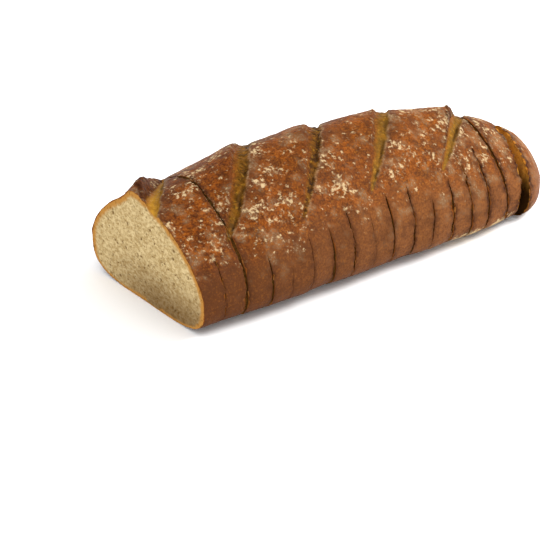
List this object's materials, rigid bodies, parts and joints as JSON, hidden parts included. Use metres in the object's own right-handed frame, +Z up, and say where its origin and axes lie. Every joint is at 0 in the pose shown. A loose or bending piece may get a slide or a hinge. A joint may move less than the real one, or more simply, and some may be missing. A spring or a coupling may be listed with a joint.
{
  "type": "sliced rye bread loaf",
  "caption": "Long free-standing rye loaf with slanted scores and a floured crust, sliced but keeping its shape, with a bare cut face at the front end.",
  "frame": {"origin": "on the surface that the loaf lies on, under the middle of its bounding box", "axes": "+X along the loaf from the open cut face to the heel, +Y across it, +Z up"},
  "size_m": [0.2718, 0.1162, 0.0794],
  "materials": {
    "bread": "matte brown rye crust with a pale open crumb on the cut faces"
  },
  "bodies": {
    "root": {"slice_01": "bread", "slice_02": "bread", "slice_03": "bread", "slice_04": "bread", "slice_05": "bread", "slice_06": "bread", "slice_07": "bread", "slice_08": "bread", "slice_09": "bread", "slice_10": "bread", "slice_11": "bread", "slice_12": "bread", "slice_13": "bread", "slice_14": "bread", "slice_15": "bread", "slice_16": "bread", "heel": "bread"}
  },
  "joints": []
}
